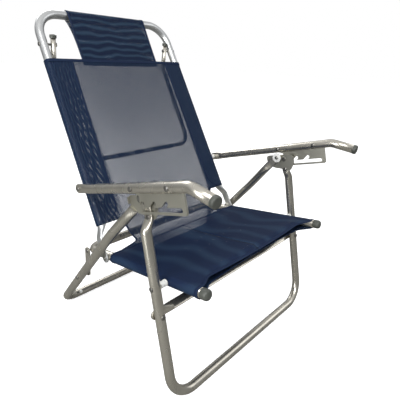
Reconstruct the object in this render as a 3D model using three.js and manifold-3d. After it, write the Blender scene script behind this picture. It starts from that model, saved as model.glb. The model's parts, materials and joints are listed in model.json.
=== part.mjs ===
// Reclining beach chair: bent aluminium tubes, riveted pivots and polyester mesh.
// Millimetres, +Z up. The sitter faces -Y, and +X is the sitter's left.
// Places in the side view are written as (forward, up), with across as the distance from the middle.
import * as THREE from 'three';
import { mergeVertices } from 'three/addons/utils/BufferGeometryUtils.js';
import Module from 'manifold-3d';

const wasm = await Module();
wasm.setup();

// ---- Driving dimensions -------------------------------------------------------------------

const GAP = 0.3; // between two touching pieces
const OUTER = 12; // sides of a tube outside
const INNER = 6; // and inside
const ROUNDNESS = 1.012; // a tube's corners stand out this much, and its flats stand in
const TUBE = { radius: 11, wall: 1.4 };
const CROSS_TUBE = { radius: 10, wall: 1.4 };
const PROP_TUBE = { radius: 6.5, wall: 1.2 };
const RIVET = { shank: 3, hole: 3.6, head: 5.5, headHeight: 2 };
const PIN = { radius: 4, head: 6, headHeight: 2.2 };

// Distances from the chair's middle plane to the axis of each side tube.
const ACROSS = {
  frontLeg: 270, rearLeg: 266, seat: 231, backFoot: 227.5, backTop: 213,
  armRear: 259, armFront: 270, armEnd: 275, prop: 189,
};

const frontFoot = { forward: 171, up: TUBE.radius };
const frontLean = -0.246; // forward travel per unit of height
const rearFoot = { forward: -310, up: TUBE.radius };
const legPivot = { forward: 44, up: 441 };
const latchPin = { forward: 65, up: 440 };
const frontLegTop = 454;
const seatFront = { forward: 198, up: 287.8 };
const seatSlope = 0.174; // the seat rises towards the front
const seatRear = -203;
const hingeForward = -107;
const backTop = { forward: -428, up: 786 };
const armHeight = 391.5; // where the arm is riveted to the back frame
const armRise = THREE.MathUtils.degToRad(17.06);
const armBendReach = 405; // from the arm's rivet to its bend
const crossTubeUp = 210;
const strutForward = -191;
const strutPinUp = 150;

const legLine = (up) => frontFoot.forward + frontLean * (up - frontFoot.up);
const seatLine = (forward) => seatFront.up + (forward - seatFront.forward) * seatSlope;
const rearLean = (legPivot.forward - rearFoot.forward) / (legPivot.up - rearFoot.up);
const rearLegLine = (up) => rearFoot.forward + rearLean * (up - rearFoot.up);

const seatPivotUp = (seatFront.up + (legLine(0) - seatFront.forward) * seatSlope)
  / (1 - frontLean * seatSlope);
const seatPivot = { forward: legLine(seatPivotUp), up: seatPivotUp };
const hinge = { forward: hingeForward, up: seatLine(hingeForward) };
const strutPin = { forward: rearLegLine(strutPinUp), up: strutPinUp };
const strutTop = { forward: strutForward, up: seatLine(strutForward) };

// ---- Frames of reference ------------------------------------------------------------------

const point = (place, across = 0) => new THREE.Vector3(across, -place.forward, place.up);
const X = new THREE.Vector3(1, 0, 0);
const RIGHT = new THREE.Vector3(-1, 0, 0);
const direction = (from, to) => point(to).sub(point(from)).normalize();

const backUp = direction(hinge, backTop);
const backFront = new THREE.Vector3().crossVectors(X, backUp); // out of the back's front face
const backLength = point(backTop).distanceTo(point(hinge));
const onBack = (upBack, front = 0, across = 0) => point(hinge)
  .addScaledVector(backUp, upBack).addScaledVector(backFront, front).setX(across);
const backAcross = (upBack) => THREE.MathUtils.mapLinear(
  upBack, 70, backLength, ACROSS.backFoot, ACROSS.backTop);

const armPivotUpBack = (armHeight - hinge.up) / backUp.z;
const armPivot = onBack(armPivotUpBack);
const armAlong = new THREE.Vector3(0, -Math.cos(armRise), Math.sin(armRise));
const armUp = new THREE.Vector3().crossVectors(X, armAlong).negate();
const armAcross = (reach) => THREE.MathUtils.mapLinear(
  reach, 0, armBendReach, ACROSS.armRear, ACROSS.armFront);
const onArm = (reach, rise, across) => armPivot.clone()
  .addScaledVector(armAlong, reach).addScaledVector(armUp, rise).setX(across);

const seatForward = new THREE.Vector3(0, -1, seatSlope).normalize();
const seatUp = new THREE.Vector3().crossVectors(X, seatForward).negate();
const onSeat = (forward, rise, across) => point({ forward, up: seatLine(forward) }, across)
  .addScaledVector(seatUp, rise);

// ---- Solids -------------------------------------------------------------------------------

function toSolid(geometry) {
  const bare = geometry.clone();
  bare.deleteAttribute('normal');
  bare.deleteAttribute('uv');
  const merged = mergeVertices(bare, 1e-4);
  const mesh = new wasm.Mesh({
    numProp: 3,
    vertProperties: Float32Array.from(merged.attributes.position.array),
    triVerts: Uint32Array.from(merged.index.array),
  });
  mesh.merge();
  return new wasm.Manifold(mesh);
}

function toGeometry(solid) {
  const mesh = solid.getMesh();
  const geometry = new THREE.BufferGeometry();
  geometry.setAttribute('position', new THREE.BufferAttribute(mesh.vertProperties, 3));
  geometry.setIndex(new THREE.BufferAttribute(mesh.triVerts, 1));
  const flat = geometry.toNonIndexed();
  flat.computeVertexNormals();
  return flat;
}

// Cuts every tool out of a body. All are geometries in the chair's own frame.
const cut = (body, ...tools) => toGeometry(
  wasm.Manifold.difference([toSolid(body), ...tools.map(toSolid)]));
const join = (...bodies) => toGeometry(wasm.Manifold.union(bodies.map(toSolid)));

// A cylinder from one point to another.
function rod(from, to, radius, sides = 12) {
  const length = from.distanceTo(to);
  const geometry = new THREE.CylinderGeometry(radius, radius, length, sides);
  const turn = new THREE.Quaternion().setFromUnitVectors(
    new THREE.Vector3(0, 1, 0), to.clone().sub(from).normalize());
  const middle = from.clone().lerp(to, 0.5);
  return geometry.applyMatrix4(new THREE.Matrix4().compose(middle, turn, new THREE.Vector3(1, 1, 1)));
}

// A cylinder across the chair, between two distances from its middle plane.
const axle = (place, from, to, radius, sides) => rod(
  place.clone().setX(from), place.clone().setX(to), radius, sides);
const rivetHole = (place, from, to) => axle(place, from, to, RIVET.hole, 8);

// A turned piece on an axis from one point to another. The profile gives (radius, distance) pairs.
function turned(from, to, profile, sides = 10) {
  const geometry = new THREE.LatheGeometry(profile.map(([r, d]) => new THREE.Vector2(r, d)), sides);
  const way = to.clone().sub(from).normalize();
  const turn = new THREE.Quaternion().setFromUnitVectors(new THREE.Vector3(0, 1, 0), way);
  return geometry.applyMatrix4(new THREE.Matrix4().compose(from, turn, new THREE.Vector3(1, 1, 1)));
}

// A rivet through what lies between two points, with a head clear of it at each end.
function rivetBetween(from, to) {
  const grip = from.distanceTo(to);
  const { shank, head, headHeight } = RIVET;
  return turned(from, to, [
    [0, -GAP - headHeight], [head, -GAP - headHeight], [head, -GAP], [shank, -GAP],
    [shank, grip + GAP], [head, grip + GAP], [head, grip + GAP + headHeight],
    [0, grip + GAP + headHeight],
  ]);
}
const rivet = (place, from, to) => rivetBetween(place.clone().setX(from), place.clone().setX(to));

// An outline in a plane through origin, spanned by right and up, given a thickness on its normal.
function slab(shape, origin, right, up, from, to, steps = 1) {
  const geometry = new THREE.ExtrudeGeometry(shape, {
    depth: to - from, bevelEnabled: false, curveSegments: 5, steps,
  });
  const normal = new THREE.Vector3().crossVectors(right, up);
  const frame = new THREE.Matrix4().makeBasis(right, up, normal);
  frame.setPosition(origin.clone().addScaledVector(normal, from));
  return geometry.applyMatrix4(frame);
}

// ---- Tubes --------------------------------------------------------------------------------

// The points of a path whose inner corners are rounded to the given radii.
function roundedPath(corners, radii, steps = 5) {
  const path = [corners[0]];
  for (let i = 1; i < corners.length - 1; i += 1) {
    const radius = radii[i - 1];
    const back = corners[i - 1].clone().sub(corners[i]).normalize();
    const on = corners[i + 1].clone().sub(corners[i]).normalize();
    const half = back.angleTo(on) / 2;
    const start = corners[i].clone().addScaledVector(back, radius / Math.tan(half));
    const end = corners[i].clone().addScaledVector(on, radius / Math.tan(half));
    const centre = corners[i].clone()
      .addScaledVector(back.clone().add(on).normalize(), radius / Math.sin(half));
    const spin = new THREE.Vector3().crossVectors(start.clone().sub(centre), end.clone().sub(centre));
    const sweep = start.clone().sub(centre).angleTo(end.clone().sub(centre));
    for (let k = 0; k <= steps; k += 1) {
      const arm = start.clone().sub(centre);
      path.push(centre.clone().add(arm.applyAxisAngle(spin.clone().normalize(), (sweep * k) / steps)));
    }
  }
  path.push(corners[corners.length - 1]);
  return path;
}

// How far a tube end is pressed flat at a distance from its tip, and how wide it is there.
function pressed(tab, distance) {
  if (!tab) return { flat: 0, tip: 1 };
  const flat = 1 - THREE.MathUtils.smoothstep(distance, tab.length, tab.length + tab.blend);
  const fromRound = Math.max(0, tab.wide - distance) / tab.wide;
  return { flat, tip: Math.sqrt(1 - fromRound * fromRound) };
}

// A pressed end that also moves sideways, across the chair.
const shifted = (tab, across) => ({ ...tab, shift: X.clone().multiplyScalar(across) });

// Where along a path the sections stand: its own points, and extra ones over a pressed end.
function stationDistances(path, startTab, endTab) {
  const marks = [0];
  for (let i = 1; i < path.length; i += 1) marks.push(marks[i - 1] + path[i].distanceTo(path[i - 1]));
  const total = marks[marks.length - 1];
  const extra = (tab) => [0.06, 0.25, 0.6, 1].map((part) => part * tab.wide)
    .concat([0, 0.25, 0.5, 0.75, 1].map((part) => tab.length + part * tab.blend));
  const first = startTab ? startTab.wide * 0.05 : 0;
  const last = total - (endTab ? endTab.wide * 0.05 : 0);
  const all = marks.concat(startTab ? extra(startTab) : [])
    .concat(endTab ? extra(endTab).map((d) => total - d) : [])
    .filter((d) => d > first + 0.5 && d < last - 0.5).concat([first, last]);
  return { marks, total, stations: [...new Set(all)].sort((a, b) => a - b) };
}

// A ring of points: a circle that becomes a flat oblong, thin along one axis of the section.
function section(count, size, turn) {
  return Array.from({ length: count }, (_, i) => {
    const angle = ((i + 0.5) / count) * 2 * Math.PI + turn;
    const c = Math.cos(angle);
    const thin = size.thin * Math.sign(c) * Math.abs(c) ** size.power;
    return [thin, size.wide * Math.sin(angle)];
  });
}

// A hollow tube along a path, whose sections are set square to it and upright to normal. A pressed
// end is thin across the normal, or along it with thinAlongNormal, and moves aside by tab.shift.
function tube(path, normal, size, options = {}) {
  const { start, end, turn = 0, thinAlongNormal = false } = options;
  const { marks, total, stations } = stationDistances(path, start, end);
  const rings = stations.map((distance) => {
    let i = 1;
    while (i < marks.length - 1 && marks[i] < distance) i += 1;
    const part = (distance - marks[i - 1]) / (marks[i] - marks[i - 1]);
    const centre = path[i - 1].clone().lerp(path[i], part);
    const before = path[i].clone().sub(path[i - 1]).normalize();
    const onVertex = Math.abs(distance - marks[i]) < 1e-6 && i < path.length - 1;
    const after = onVertex ? path[i + 1].clone().sub(path[i]).normalize() : before;
    const tangent = before.clone().add(after).normalize();
    const side = new THREE.Vector3().crossVectors(tangent, normal).normalize();
    const up = new THREE.Vector3().crossVectors(side, tangent);
    const near = distance < total / 2 ? start : end;
    const { flat, tip } = pressed(near, Math.min(distance, total - distance));
    if (near?.shift) centre.addScaledVector(near.shift, flat);
    const round = size.radius * ROUNDNESS;
    const ring = (inset, count) => {
      const thin = THREE.MathUtils.lerp(round, near ? near.half : round, flat) - inset;
      const wide = THREE.MathUtils.lerp(round, near ? near.wide : round, flat) * tip - inset;
      const shape = section(count, { thin, wide: Math.max(wide, 0.6), power: 1 - 0.65 * flat }, turn);
      return shape.map(([a, b]) => {
        const [alongSide, alongNormal] = thinAlongNormal ? [b, a] : [a, b];
        return centre.clone().addScaledVector(side, alongSide).addScaledVector(up, alongNormal);
      });
    };
    return { outer: ring(0, OUTER), inner: ring(size.wall, INNER) };
  });
  return skin(rings, thinAlongNormal);
}

// How far to turn a U tube's sections so that its floor bar lies on one of its flats.
function layFlat(normal) {
  const side = new THREE.Vector3().crossVectors(X, normal);
  return Math.atan2(-normal.z, -side.z);
}

// The closed surface of a tube: outside, inside and the two annular ends.
function skin(rings, flip) {
  const positions = [];
  const triangle = (a, b, c) => {
    const corners = flip ? [a, c, b] : [a, b, c];
    corners.forEach((p) => positions.push(p.x, p.y, p.z));
  };
  const quad = (a, b, c, d) => {
    triangle(a, b, c);
    triangle(a, c, d);
  };
  for (let k = 0; k < rings.length - 1; k += 1) {
    const [here, next] = [rings[k], rings[k + 1]];
    here.outer.forEach((p, i) => {
      const j = (i + 1) % here.outer.length;
      quad(p, next.outer[i], next.outer[j], here.outer[j]);
    });
    here.inner.forEach((p, i) => {
      const j = (i + 1) % here.inner.length;
      quad(p, here.inner[j], next.inner[j], next.inner[i]);
    });
  }
  const rim = ({ outer, inner }, face) => inner.forEach((p, i) => {
    const j = (i + 1) % inner.length;
    const [a, b, c] = [outer[2 * i], outer[2 * i + 1], outer[(2 * i + 2) % outer.length]];
    face(p, a, b);
    face(p, b, inner[j]);
    face(inner[j], b, c);
  });
  rim(rings[0], triangle);
  rim(rings[rings.length - 1], (a, b, c) => triangle(a, c, b));
  const geometry = new THREE.BufferGeometry();
  geometry.setAttribute('position', new THREE.Float32BufferAttribute(positions, 3));
  geometry.computeVertexNormals();
  return geometry;
}

// A cap that closes a tube: a plug inside and a domed head over its end.
function tubeCap(end, outward, size, head) {
  const plug = (size.radius * ROUNDNESS - size.wall) * Math.cos(Math.PI / INNER) - GAP;
  const profile = [
    new THREE.Vector2(0, -head.plug), new THREE.Vector2(plug, -head.plug),
    new THREE.Vector2(plug, GAP), new THREE.Vector2(head.radius, GAP),
    new THREE.Vector2(head.radius, head.height * 0.55),
  ];
  for (let k = 1; k <= 3; k += 1) {
    const angle = (k / 3) * (Math.PI / 2);
    profile.push(new THREE.Vector2(
      k === 3 ? 0 : head.radius * Math.cos(angle), head.height * (0.55 + 0.45 * Math.sin(angle))));
  }
  const geometry = new THREE.LatheGeometry(profile, 12);
  const turn = new THREE.Quaternion().setFromUnitVectors(new THREE.Vector3(0, 1, 0), outward);
  return geometry.applyMatrix4(new THREE.Matrix4().compose(end, turn, new THREE.Vector3(1, 1, 1)));
}

// ---- Materials ----------------------------------------------------------------------------

const material = (color, roughness, metalness) => new THREE.MeshStandardMaterial({
  color, roughness, metalness, side: THREE.DoubleSide,
});
const ALUMINIUM = material(0xb9b4a6, 0.35, 0.9);
const PLATE = material(0x8d8c80, 0.5, 0.8);
const RIVET_METAL = material(0x9a968c, 0.4, 0.9);
const NYLON = material(0xf0efea, 0.5, 0);
const CAP = material(0x565a55, 0.6, 0);
const MESH = material(0x22345c, 0.9, 0);

const chair = new THREE.Group();
function add(name, geometry, finish) {
  const mesh = new THREE.Mesh(geometry, finish);
  mesh.name = name;
  chair.add(mesh);
}

// Runs once for each side of the chair: left is +X, right is -X.
const SIDES = [['left', 1], ['right', -1]];

// ---- Front legs, cross tube and brackets ---------------------------------------------------

const PLATE_ACROSS = 265.8; // the ratchet plate's middle, outside all that is at the bracket
const PLATE_THICK = 3;
const WEB = { from: 253.9, to: 255.9 }; // the bracket's sheet, between the two legs' pressed ends
const FLANGE_TO = WEB.to + 5;
const frontTab = { half: 2.3, wide: 11.5, length: 53, blend: 32 };
const frontTabAcross = WEB.to + GAP + frontTab.half;
const bracketRivetPlace = point({ forward: legLine(412), up: 412 }); // below the ratchet plate
const pinPlace = point(latchPin);
const legNormal = new THREE.Vector3().crossVectors(
  X, direction({ forward: legLine(400), up: 400 }, frontFoot)); // out of the legs' rear face
const crossTubeSet = TUBE.radius + GAP + 2.7; // from the leg's axis back to the cross tube's
const crossTubePlace = point({ forward: legLine(crossTubeUp), up: crossTubeUp })
  .addScaledVector(legNormal, crossTubeSet);

function addFrontLegs() {
  const corner = (s) => point(frontFoot, s * ACROSS.frontLeg);
  const top = (s) => point({ forward: legLine(frontLegTop), up: frontLegTop }, s * ACROSS.frontLeg);
  const path = roundedPath([top(-1), corner(-1), corner(1), top(1)], [62, 62]);
  const tab = (s) => shifted(frontTab, s * (frontTabAcross - ACROSS.frontLeg));
  const legs = tube(path, legNormal, TUBE, {
    start: tab(-1), end: tab(1), turn: layFlat(legNormal),
  });
  const holes = SIDES.flatMap(([, s]) => [
    rivetHole(bracketRivetPlace, s * 250, s * 300),
    axle(pinPlace, s * 250, s * 300, PIN.radius + GAP),
    rivetHole(point(seatPivot), s * 250, s * 300),
    legNormalHole(s),
  ]);
  add('front_leg', cut(legs, ...holes), ALUMINIUM);
}

// The cross tube's rivets run through the legs from front to back.
const crossRivetEnds = (s, front, back) => [front, back].map((reach) => crossTubePlace.clone()
  .setX(s * ACROSS.frontLeg).addScaledVector(legNormal, reach - crossTubeSet));
const legNormalHole = (s) => rod(...crossRivetEnds(s, -20, 30), RIVET.hole, 8);

function addFrontCrossTube() {
  const tab = { half: 2.7, wide: 12, length: 34, blend: 30 };
  const reach = ACROSS.frontLeg + tab.wide;
  const path = [-reach, -150, 0, 150, reach].map((x) => crossTubePlace.clone().setX(x));
  const bar = tube(path, legNormal, CROSS_TUBE, { start: tab, end: tab, thinAlongNormal: true });
  add('front_cross_tube', cut(bar, ...SIDES.map(([, s]) => legNormalHole(s))), ALUMINIUM);
  SIDES.forEach(([name, s]) => {
    const [front, back] = crossRivetEnds(s, -TUBE.radius, crossTubeSet + tab.half);
    add(`cross_tube_rivet_${name}`, rivetBetween(front, back), RIVET_METAL);
  });
}

// A closed outline through the given places, with its corners rounded.
function outline(places, radius) {
  const corners = places.map(([x, y]) => new THREE.Vector2(x, y));
  const shape = new THREE.Shape();
  corners.forEach((corner, i) => {
    const before = corners[(i + corners.length - 1) % corners.length].clone().sub(corner);
    const after = corners[(i + 1) % corners.length].clone().sub(corner);
    const reach = Math.min(radius, before.length() / 2.2, after.length() / 2.2);
    const start = corner.clone().add(before.setLength(reach));
    const end = corner.clone().add(after.setLength(reach));
    if (i === 0) shape.moveTo(start.x, start.y);
    else shape.lineTo(start.x, start.y);
    shape.quadraticCurveTo(corner.x, corner.y, end.x, end.y);
  });
  shape.closePath();
  return shape;
}

// An upright plate whose outline is in (forward, up), between two distances across.
const FORWARD = new THREE.Vector3(0, -1, 0);
const UP = new THREE.Vector3(0, 0, 1);
const sidePlate = (shape, from, to, origin = new THREE.Vector3(), right = FORWARD, up = UP) => slab(
  shape, origin.clone().setX(0), right, up, Math.min(-from, -to), Math.max(-from, -to));

// A bar with round ends between two places of a plane.
function roundBar([x0, y0], [x1, y1], radius) {
  const angle = Math.atan2(y1 - y0, x1 - x0);
  const shape = new THREE.Shape();
  shape.absarc(x1, y1, radius, angle - Math.PI / 2, angle + Math.PI / 2, false);
  shape.absarc(x0, y0, radius, angle + Math.PI / 2, angle + 1.5 * Math.PI, false);
  shape.closePath();
  return shape;
}

const bracketOutline = [[6, 437.5], [10, 420], [34, 407], [62, 411], [88, 408], [97, 430], [90, 461]];

function addBracket(name, s) {
  const web = sidePlate(outline(bracketOutline, 12), s * WEB.from, s * WEB.to);
  const sheet = WEB.to - WEB.from;
  const flange = (from, to) => {
    const bar = roundBar(from, to, sheet / 2);
    return sidePlate(bar, s * (WEB.to - 0.5), s * FLANGE_TO);
  };
  const rear = flange([8.5, 434], [12, 421.5]);
  const low = flange([17, 417.5], [30, 410.5]);
  const front = flange([94.5, 431], [89.5, 453]);
  const holes = [pinPlace, bracketRivetPlace, point(legPivot)].map(
    (place, i) => axle(place, s * 250, s * 262, (i === 0 ? PIN.radius : RIVET.shank) + GAP));
  add(`leg_bracket_${name}`, cut(join(web, rear, low, front), ...holes), PLATE);
  add(`bracket_rivet_${name}`,
    rivet(bracketRivetPlace, s * WEB.from, s * (frontTabAcross + frontTab.half)), RIVET_METAL);
  const pinEnd = PLATE_ACROSS - PLATE_THICK / 2 - GAP;
  add(`latch_pin_${name}`, join(
    axle(pinPlace, s * (WEB.from - 1), s * pinEnd, PIN.radius),
    axle(pinPlace, s * (WEB.from - GAP - PIN.headHeight), s * (WEB.from - GAP), PIN.head),
  ), RIVET_METAL);
}

// ---- Rear legs ----------------------------------------------------------------------------

const rearTab = { half: 2.3, wide: 12.5, length: 82, blend: 34 };
const rearTabAcross = WEB.from - GAP - rearTab.half;
const BUMPER_ACROSS = 214;
const DISC = { radius: 13.5, thick: 3, outerRadius: 9, outerThick: 2.4 };

function addRearLegs() {
  const lift = rearTab.wide / Math.hypot(1, rearLean);
  const tip = { forward: legPivot.forward + lift * rearLean, up: legPivot.up + lift };
  const corner = (s) => point(rearFoot, s * ACROSS.rearLeg);
  const top = (s) => point(tip, s * ACROSS.rearLeg);
  const path = roundedPath([top(-1), corner(-1), corner(1), top(1)], [45, 45]);
  const normal = new THREE.Vector3().crossVectors(X, direction(legPivot, rearFoot));
  const tab = (s) => shifted(rearTab, s * (rearTabAcross - ACROSS.rearLeg));
  const legs = tube(path, normal, TUBE, { start: tab(-1), end: tab(1), turn: layFlat(normal) });
  const holes = SIDES.flatMap(([, s]) => [
    rivetHole(point(legPivot), s * 240, s * 290),
    axle(point(strutPin), s * 240, s * 290, PIN.radius + GAP),
    rod(...bumperLine(s, 5, 20), 2.5, 8),
  ]);
  add('rear_leg', cut(legs, ...holes), ALUMINIUM);
}

// The bumpers face forward and up from the rear floor bar, and meet the front legs when folded.
const bumperLine = (s, ...reaches) => reaches.map((reach) => point(rearFoot, s * BUMPER_ACROSS)
  .addScaledVector(new THREE.Vector3(0, -0.8, 0.6), reach));

function addRearLegFittings(name, s) {
  const inner = rearTabAcross - rearTab.half - GAP;
  const place = point(legPivot);
  add(`pivot_disc_${name}`, cut(
    axle(place, s * (inner - DISC.thick), s * inner, DISC.radius, 24),
    rivetHole(place, s * 240, s * 260)), NYLON);
  const outer = WEB.to + GAP + DISC.outerThick;
  add(`outer_disc_${name}`, cut(
    axle(place, s * (WEB.to + GAP), s * outer, DISC.outerRadius, 20),
    rivetHole(place, s * 250, s * 265)), CAP);
  add(`leg_pivot_rivet_${name}`, rivet(place, s * (inner - DISC.thick), s * outer), RIVET_METAL);
  const legOuter = ACROSS.rearLeg + TUBE.radius;
  add(`strut_pin_${name}`, join(
    axle(point(strutPin), s * (ACROSS.seat + TUBE.radius + GAP), s * (legOuter + 1), PIN.radius),
    axle(point(strutPin), s * (legOuter + GAP), s * (legOuter + GAP + PIN.headHeight), PIN.head),
  ), RIVET_METAL);
  add(`bumper_${name}`, join(
    rod(...bumperLine(s, 8, 12), 2.2, 8), rod(...bumperLine(s, 11.6, 14), 5, 12)), NYLON);
}

// ---- Seat ---------------------------------------------------------------------------------

const railInner = ACROSS.seat - TUBE.radius;
const railOuter = ACROSS.seat + TUBE.radius;
const SHEET = 1; // the mesh's thickness in one layer
const SLEEVE = TUBE.radius + 0.6; // inside a loop of mesh round a tube
const SPACER = 7.5;
const STRUT = { thick: 4, half: 9 };
const seatSheet = { front: 189, rear: -90 };

function addSeatFrame() {
  const path = roundedPath([
    onSeat(seatFront.forward, 0, -ACROSS.seat), onSeat(seatRear, 0, -ACROSS.seat),
    onSeat(seatRear, 0, ACROSS.seat), onSeat(seatFront.forward, 0, ACROSS.seat),
  ], [32, 32]);
  const frame = tube(path, seatUp.clone().negate(), TUBE);
  const holes = [seatPivot, hinge, strutTop].flatMap(
    (place) => SIDES.map(([, s]) => rivetHole(point(place), s * 210, s * 250)));
  add('seat_frame', cut(frame, ...holes), ALUMINIUM);
}

function addSeatFittings(name, s) {
  const end = onSeat(seatFront.forward, 0, s * ACROSS.seat);
  add(`seat_cap_${name}`, tubeCap(end, seatForward, TUBE, { radius: 12.5, height: 20, plug: 15 }), CAP);
  const legInner = ACROSS.frontLeg - TUBE.radius;
  add(`seat_spacer_${name}`, cut(
    axle(point(seatPivot), s * (railOuter + GAP), s * (legInner - GAP), SPACER),
    rivetHole(point(seatPivot), s * 230, s * 265)), NYLON);
  add(`seat_rivet_${name}`, rivet(
    point(seatPivot), s * railInner, s * (ACROSS.frontLeg + TUBE.radius)), RIVET_METAL);
  addRearStrut(name, s);
}

// The strut stands on the rear leg's pin, in a fork that is open along the way the pin leaves it.
function addRearStrut(name, s) {
  const outer = railOuter + GAP + STRUT.thick;
  const place = ({ forward, up }) => [forward, up];
  const bar = sidePlate(
    roundBar(place(strutTop), place(strutPin), STRUT.half), s * (railOuter + GAP), s * outer);
  const mouth = [strutPin.forward + 14, strutPin.up - 19];
  const fork = sidePlate(roundBar(place(strutPin), mouth, PIN.radius + 0.6), s * 230, s * 260);
  add(`rear_strut_${name}`, cut(bar, fork, rivetHole(point(strutTop), s * 230, s * 260)), ALUMINIUM);
  add(`strut_rivet_${name}`, rivet(point(strutTop), s * railInner, s * outer), RIVET_METAL);
}

// A flat loop of mesh round both rails, in (across, rise).
function loopOutline(radius) {
  return roundBar([-ACROSS.seat, 0], [ACROSS.seat, 0], radius);
}

function addSeatPanel() {
  const shape = loopOutline(SLEEVE + SHEET);
  shape.holes.push(loopOutline(SLEEVE));
  const origin = onSeat(seatSheet.rear, 0, 0);
  const length = (seatSheet.front - seatSheet.rear) / -seatForward.y;
  const panel = slab(shape, origin, X, seatUp, 0, length);
  const holes = SIDES.map(([, s]) => axle(point(seatPivot), s * 240, s * 250, SPACER + 0.6));
  add('seat_panel', cut(panel, ...holes), MESH);
}

// ---- Back ---------------------------------------------------------------------------------

const hingeTab = { half: 2.7, wide: 12, length: 54, blend: 38 };
const hingeTabAcross = railOuter + GAP + hingeTab.half;
const panelSpan = { low: 80, high: 509 };
const SEAM = { low: 175, high: 159 }; // where each side panel's two layers are sewn together
const bandHalf = 127;
const propPivotUpBack = 553;
const propPivot = onBack(propPivotUpBack);

function addBackFrame() {
  const corner = (s) => onBack(backLength, 0, s * ACROSS.backTop);
  const foot = (s) => onBack(-hingeTab.wide, 0, s * backAcross(-hingeTab.wide));
  const path = roundedPath([foot(-1), corner(-1), corner(1), foot(1)], [62, 62], 6);
  const tab = (s) => shifted(hingeTab, s * (hingeTabAcross - backAcross(0)));
  const frame = tube(path, backFront, TUBE, { start: tab(-1), end: tab(1) });
  const holes = SIDES.flatMap(([, s]) => [
    rivetHole(point(hinge), s * 230, s * 260),
    rivetHole(armPivot, s * 200, s * 250),
    rivetHole(propPivot, s * 195, s * 240),
  ]);
  add('back_frame', cut(frame, ...holes), ALUMINIUM);
  SIDES.forEach(([name, s]) => add(`hinge_rivet_${name}`,
    rivet(point(hinge), s * railInner, s * (hingeTabAcross + hingeTab.half)), RIVET_METAL));
}

// The angles where the two lines from a place outside a circle touch it, the right hand one first.
function tangents([x, y], radius) {
  const middle = Math.atan2(y, x);
  const spread = Math.acos(radius / Math.hypot(x, y));
  return [middle - spread, middle + spread - 2 * Math.PI];
}

// One side of the back's mesh in section, in (across, front): a pocket sewn shut at the seam, whose
// rear layer leaves the tube's curve at the tangent that reaches the seam.
function pocket(radius, seam) {
  const tubeAt = backAcross(panelSpan.low);
  const front = radius - 0.4;
  const [, leave] = tangents([seam - tubeAt, front], radius);
  return { tubeAt, radius, leave, seam: [seam, front] };
}

// The back's mesh in section: one sheet in front, and a pocket round each tube.
function backSection() {
  const outer = pocket(SLEEVE + SHEET, SEAM.low);
  const inner = pocket(SLEEVE, SEAM.low + 3);
  const shape = new THREE.Shape();
  shape.absarc(outer.tubeAt, 0, outer.radius, Math.PI / 2, outer.leave, true);
  shape.lineTo(outer.seam[0], outer.radius - SHEET);
  shape.lineTo(-outer.seam[0], outer.radius - SHEET);
  shape.absarc(-outer.tubeAt, 0, outer.radius, Math.PI - outer.leave, Math.PI / 2, true);
  shape.closePath();
  [1, -1].forEach((s) => {
    const hole = new THREE.Path();
    const [from, to] = s > 0 ? [inner.leave, Math.PI / 2] : [Math.PI / 2, Math.PI - inner.leave];
    hole.absarc(s * inner.tubeAt, 0, inner.radius, from, to, false);
    hole.lineTo(s * inner.seam[0], inner.seam[1]);
    hole.closePath();
    shape.holes.push(hole);
  });
  return shape;
}

// Moves each side of the back's mesh inwards as the frame narrows, and its seams a little more.
function narrow(geometry) {
  const at = geometry.attributes.position;
  for (let i = 0; i < at.count; i += 1) {
    const place = new THREE.Vector3().fromBufferAttribute(at, i);
    const upBack = place.clone().sub(point(hinge)).dot(backUp);
    const partUp = (upBack - panelSpan.low) / (panelSpan.high - panelSpan.low);
    const atSeam = partUp * (SEAM.high - SEAM.low);
    const atTube = backAcross(upBack) - backAcross(panelSpan.low);
    at.setX(i, place.x + Math.sign(place.x) * (Math.abs(place.x) < SEAM.low + 8 ? atSeam : atTube));
  }
  return geometry;
}

function addBackPanel() {
  const span = panelSpan.high - panelSpan.low;
  const panel = narrow(slab(backSection(), onBack(panelSpan.low), RIGHT, backFront, 0, span));
  const holes = SIDES.map(([, s]) => axle(armPivot, s * 204, s * 250, RIVET.head + 0.5));
  add('back_panel', cut(panel, ...holes), MESH);
}

// The narrow mesh that carries on from the back, through the hinge's gap, to the seat.
function addLumbarStrip() {
  const top = onBack(panelSpan.low - GAP, TUBE.radius + SHEET / 2);
  const low = onSeat(seatSheet.rear - GAP, TUBE.radius + SHEET / 2, 0);
  const bend = onSeat(seatSheet.rear - 22, TUBE.radius + 3, 0);
  const curve = new THREE.QuadraticBezierCurve3(top, bend, low);
  const line = curve.getPoints(6);
  const flat = (p) => new THREE.Vector2(-p.y, p.z);
  const face = line.map((p, i) => {
    const way = curve.getTangent(i / 6);
    const out = new THREE.Vector3().crossVectors(way, X).multiplyScalar(SHEET / 2);
    return [flat(p.clone().add(out)), flat(p.clone().sub(out))];
  });
  const shape = new THREE.Shape([...face.map(([a]) => a), ...face.map(([, b]) => b).reverse()]);
  add('lumbar_strip', sidePlate(shape, -150, 150), MESH);
}

// The headrest band in section, in (up the back, front): a loop sewn round the top tube, whose
// front layer hangs down behind the back panel's top hem.
const bandHang = { seam: -36, low: 493 - backLength, front: TUBE.radius - 0.4 };

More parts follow.
